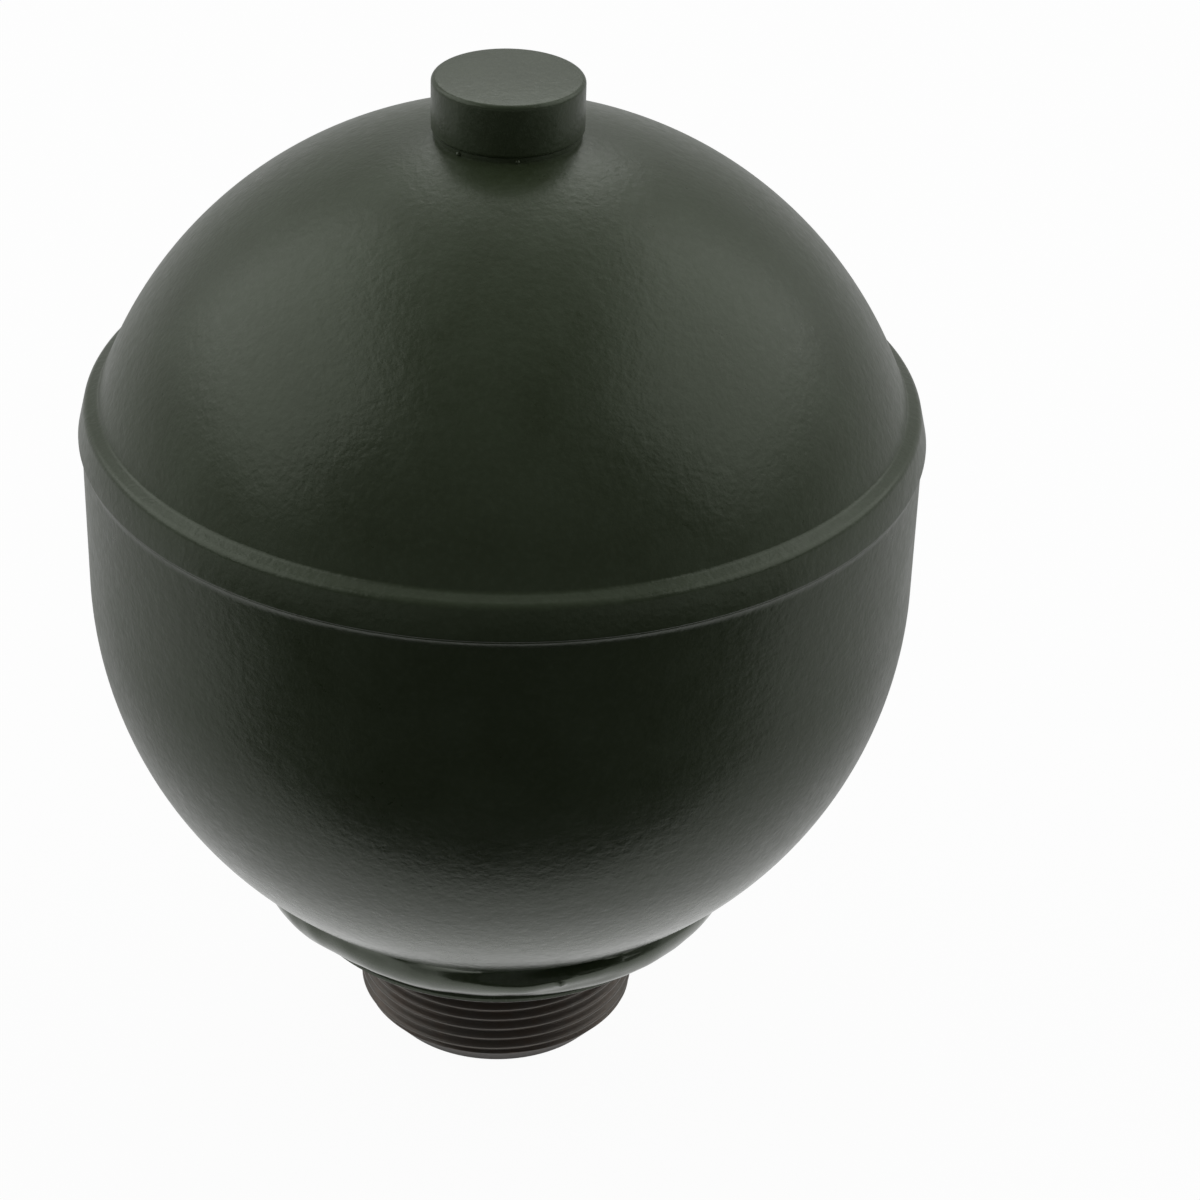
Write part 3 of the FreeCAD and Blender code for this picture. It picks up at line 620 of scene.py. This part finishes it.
class ACCUMULATOR_OT_upper_shell(Operator):
    """Turn the gas-side shell: a dome with a band at its rim and a countersunk fill hole"""

    bl_idname = "accumulator.upper_shell"
    bl_label = "Gas-side shell"

    def execute(self, context):
        sizes = context.scene.accumulator_sizes
        band, rim = band_radius(), node_bottom("upper_shell")
        band_top, band_top_radius = rim + sizes.band_thickness, band - sizes.band_taper
        outer, centre = dome_place()
        inner = outer - sizes.wall
        groove = cup_inner_radius() + sizes.bead_groove
        seat = rim + sizes.clamp_seat
        seat_radius = math.sqrt(inner**2 - (seat - centre) ** 2)
        edge = 0.35 * MM
        dome_radius = math.sqrt(outer**2 - (band_top - centre) ** 2)
        ledge_low = Vector((band_top_radius, band_top - sizes.band_ledge_fall / 2))
        ledge_high = Vector((dome_radius, band_top + sizes.band_ledge_fall / 2))
        ledge_way = (ledge_high - ledge_low).normalized()
        lift = Vector((ledge_way.y, -ledge_way.x)) * sizes.band_fillet
        start = ledge_low + lift - Vector((0, centre))
        inward = start.dot(ledge_way)
        reach = -inward - math.sqrt(inward**2 - start.length_squared + (outer + sizes.band_fillet) ** 2)
        fillet_middle = ledge_low + lift + ledge_way * reach
        ledge_end = fillet_middle - lift
        dome_foot = (fillet_middle - Vector((0, centre))).normalized() * outer + Vector((0, centre))
        section = Section("gas_side_shell", sizes.fill_hole, above(centre, inner, sizes.fill_hole))
        section.arc(seat_radius, seat, 0, centre, cuts=32)
        section.line(groove, seat)
        section.line(groove, rim)
        section.corner(band, rim, edge, *ledge_low, cuts=4)
        section.corner(*ledge_low, sizes.band_shoulder, *ledge_high, cuts=12)
        section.line(*ledge_end)
        section.arc(*dome_foot, *fillet_middle, cuts=8)
        mouth = sizes.fill_hole + sizes.countersink
        section.arc(mouth, above(centre, outer, mouth), 0, centre, cuts=56)
        section.line(sizes.fill_hole, above(centre, outer, mouth) - sizes.countersink)
        section.line(sizes.fill_hole, above(centre, inner, sizes.fill_hole))
        shell = section.turn(sizes.turning_steps)
        finish_piece(shell, ["upper_shell"], paint_finish())
        return {"FINISHED"}


class ACCUMULATOR_OT_equator_weld(Operator):
    """Turn the fine bead that closes the joint under the band"""

    bl_idname = "accumulator.equator_weld"
    bl_label = "Joint weld"

    def execute(self, context):
        sizes = context.scene.accumulator_sizes
        rim, cup = node_bottom("upper_shell"), node_radius("lower_shell")
        step, leg, tuck = 0.2 * MM, 1.0 * MM, 0.1 * MM
        width = sizes.band_overhang - step
        hollow = (width**2 + leg**2) / (2 * width)
        section = Section("joint_weld", cup, rim - leg)
        section.arc(cup + width, rim, cup + hollow, rim - leg, cuts=8)
        section.line(cup + width, rim + tuck)
        section.line(cup, rim + tuck)
        section.line(cup, rim - leg)
        weld = section.turn(sizes.turning_steps)
        finish_piece(weld, ["equator_weld"], paint_finish())
        return {"FINISHED"}


class ACCUMULATOR_OT_top_cap(Operator):
    """Turn the round filler cap and the bead at its foot"""

    bl_idname = "accumulator.top_cap"
    bl_label = "Filler cap"

    def execute(self, context):
        sizes = context.scene.accumulator_sizes
        outer, centre = dome_place()
        cap, top = node_radius("top_cap"), node_top("top_cap")
        pocket, pocket_height = 4.6 * MM, 1.4 * MM
        pocket_top = outer + centre + pocket_height
        edge, foot_edge, crown = 0.6 * MM, 0.5 * MM, 0.25 * MM
        foot_chamfer = 0.7 * MM
        foot = cap - foot_chamfer
        foot_height = above(centre, outer, foot)
        section = Section("filler_cap", 0, pocket_top)
        section.line(pocket, pocket_top, cuts=3)
        section.line(pocket, above(centre, outer, pocket))
        section.arc(foot, foot_height, 0, centre, cuts=4)
        section.corner(cap, foot_height + cap - foot, foot_edge, cap, top, cuts=6)
        section.corner(cap, top - crown, edge, 0, top + crown, cuts=8)
        section.arc(0, top, 0, top - (cap**2 + crown**2) / (2 * crown), cuts=10)
        section.line(0, pocket_top)
        cap_piece = section.turn(sizes.turning_steps)
        finish_piece(cap_piece, ["top_cap"], paint_finish())

        toe = node_radius("cap_weld")
        section = Section("filler_cap_weld", foot, foot_height)
        section.arc(toe, above(centre, outer, toe), 0, centre, cuts=2)
        section.line(toe, foot_height + toe - foot, cuts=4)
        section.line(foot, foot_height)
        weld = section.turn(sizes.turning_steps)
        pick(weld)
        bpy.ops.object.mode_set(mode="EDIT")
        bead_height = above(centre, outer, toe) + CAP_BEAD_RADIUS * CAP_BEAD_LIFT
        for angle in CAP_BEAD_ANGLES:
            turn = math.radians(angle)
            place = (toe * math.sin(turn), -toe * math.cos(turn), bead_height)
            bpy.ops.mesh.primitive_uv_sphere_add(
                segments=20, ring_count=12, radius=CAP_BEAD_RADIUS, location=place)
        bpy.ops.object.mode_set(mode="OBJECT")
        finish_piece(weld, ["cap_weld"], paint_finish())
        return {"FINISHED"}


# Neck
def thread_radius_at(angle, height, sizes):
    """The radius of a right-hand thread with rounded crests and roots, at an angle and a height."""
    turns = height / sizes.thread_pitch - angle / math.tau
    return THREAD_RADIUS - sizes.thread_depth * (1 - math.cos(math.tau * turns)) / 2


def cut_thread(piece, low, high, sizes):
    """Move the turned outside in to the thread's flanks and roots, which turning alone can't make."""
    outside = THREAD_RADIUS - 3 * MM
    for vertex in piece.data.vertices:
        radius = math.hypot(vertex.co.x, vertex.co.y)
        if low < vertex.co.z < high and radius > outside:
            target = thread_radius_at(math.atan2(vertex.co.y, vertex.co.x), vertex.co.z, sizes)
            if target < radius:
                vertex.co.x *= target / radius
                vertex.co.y *= target / radius


class ACCUMULATOR_OT_neck(Operator):
    """Turn the neck with its stepped bore, and cut its outside thread"""

    bl_idname = "accumulator.neck"
    bl_label = "Threaded neck"

    def execute(self, context):
        sizes = context.scene.accumulator_sizes
        collar = node_radius("neck")
        collar_top_radius = collar - sizes.bevel_width
        collar_chamfer, bevel_edge, fit = 0.5 * MM, 0.5 * MM, 0.05 * MM
        bore, passage, mouth = 12.5 * MM, 9.8 * MM, 0.7 * MM
        thread_start = 0.5 * MM
        lead_depth, lead_length, lead_bend = 2.9 * MM, 3.4 * MM, 0.65
        relief_depth, relief_length = 1.2 * MM, 1.8 * MM
        relief, relief_bottom = THREAD_RADIUS - relief_depth, SEAL_SEAT - relief_length
        undercut_depth, undercut_width = 0.3 * MM, 0.6 * MM
        undercut = SEAL_SEAT + undercut_depth
        button_seat = node_bottom("diaphragm_button")
        damper_top, damper_bottom = node_top("damper_body"), node_bottom("damper_body")
        spigot = sizes.neck_hole - fit
        button_edge = 13.2 * MM
        inner, centre = cup_inner_radius(), cup_centre()
        lip, lip_reach, lip_height = damper_bottom - fit, 0.9 * MM, 0.6 * MM
        section = Section("threaded_neck", bore + mouth, 0)
        section.line(THREAD_RADIUS - lead_depth, 0)
        section.line(THREAD_RADIUS - lead_depth * (1 - lead_bend), lead_length * lead_bend, cuts=6)
        section.line(THREAD_RADIUS, lead_length, cuts=16)
        section.line(THREAD_RADIUS, relief_bottom - relief_depth, cuts=146)
        section.line(relief, relief_bottom, cuts=14)
        section.line(relief, undercut, cuts=3)
        section.line(THREAD_RADIUS, undercut)
        section.line(THREAD_RADIUS + undercut_width, SEAL_SEAT)
        section.line(collar - collar_chamfer, SEAL_SEAT, cuts=3)
        section.line(collar, SEAL_SEAT + collar_chamfer)
        bevel_foot = COLLAR_TOP - sizes.bevel_height
        section.corner(collar, bevel_foot, bevel_edge, collar_top_radius, COLLAR_TOP, cuts=4)
        section.line(collar_top_radius, COLLAR_TOP, cuts=5)
        section.line(spigot, COLLAR_TOP)
        section.line(spigot, below(centre, inner, spigot))
        section.arc(button_edge, below(centre, inner, button_edge), 0, centre, cuts=6)
        section.line(button_edge, button_seat)
        section.line(passage, button_seat)
        section.line(passage, damper_top, cuts=2)
        section.line(bore, damper_top)
        section.line(bore, lip)
        section.line(bore - lip_reach, lip)
        section.line(bore - lip_reach, lip - lip_height)
        section.line(bore, lip - lip_height - lip_reach)
        section.line(bore, mouth, cuts=4)
        section.line(bore + mouth, 0)
        neck = section.turn(sizes.turning_steps)
        cut_thread(neck, thread_start, relief_bottom, sizes)
        finish_piece(neck, ["neck"], finish("neck_phosphate_and_paint", neck_material))
        return {"FINISHED"}


def weld_push(angle, share, sizes):
    """How far hand-laid metal stands out from the plain face, from the bead's root (0) to its toe (1).

    The angle is zero at the front and grows towards the right. There the last pass left a hollow under
    the toe and a rounded ridge below it, with one drop of spatter. At both ends the push fades out.
    """
    around = Vector((math.cos(angle) * LUMPS_AROUND, math.sin(angle) * LUMPS_AROUND, share * LUMPS_ALONG))
    fine_lump = noise.noise(around * FINE_LUMPS) * sizes.weld_lump * FINE_LUMP_HEIGHT
    push = noise.noise(around) * sizes.weld_lump + fine_lump
    degrees = math.degrees(angle)
    ridge = RIDGE_SHARE + RIDGE_SHIFT * rise(degrees, RIDGE_SHIFT_START, RIDGE_SHIFT_END)
    deep = HOLLOW_ELSEWHERE + (1 - HOLLOW_ELSEWHERE) * hump(degrees, HOLLOW_PLACE, HOLLOW_WIDTH)
    hollow_start, hollow_end = ridge + 0.04, 0.96
    push -= sizes.weld_hollow * deep * rise(share, hollow_start, hollow_end)
    push += sizes.weld_ridge * hump(degrees, RIDGE_PLACE, RIDGE_WIDTH) * hump(share, ridge, RIDGE_SPREAD)
    push += sizes.weld_drop * hump(degrees, DROP_PLACE, DROP_WIDTH) * hump(share, DROP_SHARE, DROP_SPREAD)
    root_fade, toe_fade = 0.10, 0.03
    return push * min(1, share / root_fade, (1 - share) / toe_fade)


class ACCUMULATOR_OT_neck_weld(Operator):
    """Turn the full bead between collar and cup, with the uneven face of hand-laid weld metal"""

    bl_idname = "accumulator.neck_weld"
    bl_label = "Neck weld"

    def execute(self, context):
        sizes = context.scene.accumulator_sizes
        cup, centre = node_radius("lower_shell"), cup_centre()
        collar_top_radius = node_radius("neck") - sizes.bevel_width
        root_height = node_bottom("neck_weld")
        root = collar_top_radius + (COLLAR_TOP - root_height) * sizes.bevel_width / sizes.bevel_height
        toe = node_radius("neck") + WELD_REACH
        toe_height = cup_outside(toe)
        bulge = 2.3 * MM
        chord = Vector((toe - root, toe_height - root_height))
        half = chord.length / 2
        face_radius = (half**2 + bulge**2) / (2 * bulge)
        inward = Vector((-chord.y, chord.x)).normalized() * (face_radius - bulge)
        middle = Vector(((root + toe) / 2, (root_height + toe_height) / 2)) + inward
        section = Section("neck_weld_bead", root, root_height)
        covered = covered_radius()
        section.arc(toe, toe_height, middle.x, middle.y, cuts=44)
        section.arc(covered, cup_outside(covered), -sizes.cup_fullness, centre, cuts=6)
        section.line(sizes.neck_hole, below(centre, cup, sizes.neck_hole))
        section.line(collar_top_radius, COLLAR_TOP)
        section.line(root, root_height)
        weld = section.turn(sizes.turning_steps * 2)
        start = Vector((root, root_height)) - middle
        spread = start.angle_signed(Vector((toe, toe_height)) - middle)
        near = 0.01 * MM
        for vertex in weld.data.vertices:
            radius = math.hypot(vertex.co.x, vertex.co.y)
            out = Vector((radius, vertex.co.z)) - middle
            if abs(out.length - face_radius) > near or radius < root - near:
                continue
            angle = math.atan2(vertex.co.x, -vertex.co.y)
            out = out.normalized() * weld_push(angle, start.angle_signed(out) / spread, sizes)
            vertex.co.x *= (radius + out.x) / radius
            vertex.co.y *= (radius + out.x) / radius
            vertex.co.z += out.y
        finish_piece(weld, ["neck_weld"], finish("weld_paint", weld_paint_material))
        return {"FINISHED"}


# Inside
class ACCUMULATOR_OT_diaphragm(Operator):
    """Turn the rubber diaphragm with its clamped bead and its pad"""

    bl_idname = "accumulator.diaphragm"
    bl_label = "Diaphragm"

    def execute(self, context):
        sizes = context.scene.accumulator_sizes
        centre = cup_centre()
        clearance, rubber = 0.3 * MM, 1.5 * MM
        bead_width, bead_height, corner = 2.8 * MM, 2.6 * MM, 0.6 * MM
        pad_edge, pad_height = 12.7 * MM, 2.5 * MM
        recess, recess_depth = 4.3 * MM, 1.0 * MM
        outer = cup_inner_radius() - clearance
        inner = outer - rubber
        bead_outer, bead_top = node_radius("diaphragm"), node_top("diaphragm")
        bead_inner, bead_bottom = bead_outer - bead_width, bead_top - bead_height
        pad_bottom = node_bottom("diaphragm")
        pad_top, recess_top = pad_bottom + pad_height, pad_bottom + recess_depth
        section = Section("rubber_diaphragm", 0, recess_top)
        section.line(recess, recess_top, cuts=3)
        section.line(recess, pad_bottom)
        section.line(pad_edge, pad_bottom, cuts=4)
        section.arc(outer, centre, 0, centre, cuts=36)
        section.line(outer, bead_bottom, cuts=6)
        section.line(bead_outer - corner, bead_bottom)
        rounding = bead_outer - corner
        section.arc(bead_outer, bead_bottom + corner, rounding, bead_bottom + corner, cuts=4)
        section.line(bead_outer, bead_top - corner)
        section.arc(rounding, bead_top, rounding, bead_top - corner, cuts=4)
        section.line(bead_inner, bead_top, cuts=2)
        section.line(bead_inner, bead_bottom + inner - bead_inner)
        section.line(inner, bead_bottom)
        section.line(inner, centre, cuts=6)
        pad_top_edge = math.sqrt(inner**2 - (centre - pad_top) ** 2)
        section.arc(pad_top_edge, pad_top, 0, centre, cuts=32)
        section.line(0, pad_top, cuts=6)
        section.line(0, recess_top)
        diaphragm = section.turn(sizes.turning_steps // 2)
        rubber_finish = finish("diaphragm_rubber", rubber_material)
        finish_piece(diaphragm, ["diaphragm"], rubber_finish)
        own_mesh(diaphragm)
        return {"FINISHED"}


class ACCUMULATOR_OT_inner_finishes(Operator):
    """Give the turned, rolled and sintered pieces inside their steel finishes"""

    bl_idname = "accumulator.inner_finishes"
    bl_label = "Inner finishes"

    def execute(self, context):
        colours = context.scene.accumulator_colours
        turned = steel_material("turned_steel", colours.steel, roughness=0.24, mark_size=0.12 * MM)
        rolled = steel_material("rolled_spring_steel", colours.spring, roughness=0.18, mark_size=0.3 * MM)
        finishes = dict.fromkeys(TURNED_NODES, turned)
        finishes["damper_body"] = sintered_material()
        for node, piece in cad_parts.items():
            material = rolled if "shim" in node else finishes.get(node)
            if material is None:
                continue
            piece.data.materials.clear()
            piece.data.materials.append(material)
        return {"FINISHED"}


# Stage
class ACCUMULATOR_OT_stage(Operator):
    """Set the pale floor, the soft studio light and the camera"""

    bl_idname = "accumulator.stage"
    bl_label = "Stage"

    def execute(self, context):
        self.lay_floor()
        self.lay_painted_shade_card()
        self.light_world(context)
        self.hang_lamps()
        self.place_camera(context)
        context.scene.view_settings.view_transform = "Standard"
        return {"FINISHED"}

    def lay_floor(self):
        """White for the camera; in reflections a painted glow: a painted pool of light fading outwards, with a
        painted shadow under the neck.
        """
        bpy.ops.object.select_all(action="DESELECT")
        bpy.ops.mesh.primitive_plane_add(size=FLOOR_SIZE, location=(0, 0, 0))
        floor = bpy.context.object
        floor.name = "floor"
        material, tree, shader = new_tree("pale_floor")
        shader.inputs["Base Color"].default_value = FLOOR_GREY
        shader.inputs["Roughness"].default_value = 0.75
        shader.inputs["Specular IOR Level"].default_value = 0.2
        glow = add_node(tree, "ShaderNodeEmission", Color=WHITE)
        blend = tree.nodes.new("ShaderNodeMixShader")
        camera_ray, seen = seen_rays(tree)
        _, radius, _ = object_coords(tree)
        # Painted shadow under the neck and painted pool of light: the glow that reflections see is dimmed
        # close to the axis and fades from 42 mm outwards
        near = remap(tree, radius, 15 * MM, 20 * MM, 0.25, 1.0)
        painted_light_pool = maths(tree, "MULTIPLY", near, remap(tree, radius, 42 * MM, 95 * MM, 1.0, 0.58))
        plug_in(tree, glow.inputs["Strength"], maths(tree, "MAXIMUM", painted_light_pool, camera_ray))
        plug_in(tree, blend.inputs[0], maths(tree, "MULTIPLY", seen, FLOOR_GLOW))
        tree.links.new(shader.outputs[0], blend.inputs[1])
        tree.links.new(glow.outputs[0], blend.inputs[2])
        tree.links.new(blend.outputs[0], tree.nodes["Material Output"].inputs["Surface"])
        floor.data.materials.append(material)

    def lay_painted_shade_card(self):
        """Painted shade: a dark card on the floor in front, hidden from the camera and casting no shadow, so
        that only the object's reflections see it.
        """
        bpy.ops.object.select_all(action="DESELECT")
        above_floor = 0.1 * MM
        bpy.ops.mesh.primitive_plane_add(size=1, location=(0, 0, above_floor))
        card = bpy.context.object
        card.name = "painted_shade_card"
        bpy.ops.object.mode_set(mode="EDIT")
        bpy.ops.transform.resize(value=(2 * CARD_HALF_WIDTH, CARD_LENGTH, 1))
        bpy.ops.transform.translate(value=(0, -CARD_LENGTH / 2 - CARD_EDGE, 0))
        bpy.ops.object.mode_set(mode="OBJECT")
        material, tree, shader = new_tree("painted_shade_card")
        shader.inputs["Base Color"].default_value = SHADE_CARD_GREY
        shader.inputs["Roughness"].default_value = 0.9
        shader.inputs["Specular IOR Level"].default_value = 0.1
        card.data.materials.append(material)
        card.visible_camera = False
        card.visible_shadow = False

    def light_world(self, context):
        """White for the camera; for light and reflections, brightest behind the part and dim in front."""
        world = bpy.data.worlds.new("studio")
        context.scene.world = world
        world.use_nodes = True
        tree = world.node_tree
        background = tree.nodes["Background"]
        direction = tree.nodes.new("ShaderNodeTexCoord").outputs["Generated"]
        _, along, up = add_node(tree, "ShaderNodeSeparateXYZ", Vector=direction).outputs
        behind = remap(tree, along, -0.30, 0.40, 0.10, 0.52)
        overhead = remap(tree, up, 0.60, 1.0, 0.05, 0.17)
        level = maths(tree, "MAXIMUM", behind, overhead)
        camera_ray, _ = seen_rays(tree)
        lit = mix_colour(tree, level, BLACK, WHITE)
        plug_in(tree, background.inputs["Color"], mix_colour(tree, camera_ray, lit, WHITE))

    def hang_lamps(self):
        for name, place, size, power in LAMPS:
            lamp = bpy.data.lights.new(name, "AREA")
            lamp.shape = "RECTANGLE"
            lamp.size, lamp.size_y = size
            lamp.energy = power
            holder = bpy.data.objects.new(name, lamp)
            bpy.context.scene.collection.objects.link(holder)
            holder.location = place
            holder.visible_camera = False
            aim = Vector(LAMP_AIM) - Vector(place)
            holder.rotation_euler = aim.to_track_quat("-Z", "Y").to_euler()

    def place_camera(self, context):
        """The photograph's view: 31 degrees down from the front, with a slight roll."""
        yaw, pitch, roll = (math.radians(angle) for angle in CAMERA_ANGLES)
        level_reach = math.cos(pitch)
        forward = Vector((math.sin(yaw) * level_reach, math.cos(yaw) * level_reach, -math.sin(pitch)))
        level = Vector((math.cos(yaw), -math.sin(yaw), 0))
        down = forward.cross(level)
        right = level * math.cos(roll) + down * math.sin(roll)
        image_down = down * math.cos(roll) - level * math.sin(roll)
        camera = bpy.data.objects.new("camera", bpy.data.cameras.new("camera"))
        context.scene.collection.objects.link(camera)
        turn = Matrix((right, -image_down, -forward)).transposed().to_4x4()
        camera.matrix_world = Matrix.Translation(CAMERA_PLACE) @ turn
        camera.data.lens = CAMERA_LENS
        camera.data.sensor_width = CAMERA_SENSOR
        camera.data.clip_start = 10 * MM
        context.scene.camera = camera


class ACCUMULATOR_PT_panel(Panel):
    """Lists the pieces and their settings in the sidebar"""

    bl_label = "Suspension accumulator"
    bl_space_type = "VIEW_3D"
    bl_region_type = "UI"
    bl_category = "Accumulator"

    def draw(self, context):
        layout = self.layout
        for group in (context.scene.accumulator_sizes, context.scene.accumulator_colours):
            box = layout.box()
            for name in group.__annotations__:
                box.prop(group, name)
        for operator in PIECE_OPERATORS:
            layout.operator(operator.bl_idname)


PIECE_OPERATORS = (
    ACCUMULATOR_OT_lower_shell,
    ACCUMULATOR_OT_upper_shell,
    ACCUMULATOR_OT_equator_weld,
    ACCUMULATOR_OT_top_cap,
    ACCUMULATOR_OT_neck,
    ACCUMULATOR_OT_neck_weld,
    ACCUMULATOR_OT_diaphragm,
    ACCUMULATOR_OT_inner_finishes,
    ACCUMULATOR_OT_stage,
)
CLASSES = (AccumulatorSizes, AccumulatorColours, *PIECE_OPERATORS, ACCUMULATOR_PT_panel)


def register():
    for entry in CLASSES:
        bpy.utils.register_class(entry)
    bpy.types.Scene.accumulator_sizes = PointerProperty(type=AccumulatorSizes)
    bpy.types.Scene.accumulator_colours = PointerProperty(type=AccumulatorColours)


def unregister():
    del bpy.types.Scene.accumulator_colours
    del bpy.types.Scene.accumulator_sizes
    for entry in reversed(CLASSES):
        bpy.utils.unregister_class(entry)


def main():
    register()
    bpy.ops.accumulator.lower_shell()
    bpy.ops.accumulator.upper_shell()
    bpy.ops.accumulator.equator_weld()
    bpy.ops.accumulator.top_cap()
    bpy.ops.accumulator.neck()
    bpy.ops.accumulator.neck_weld()
    bpy.ops.accumulator.diaphragm()
    bpy.ops.accumulator.inner_finishes()
    bpy.ops.accumulator.stage()


if __name__ == "__main__":
    main()
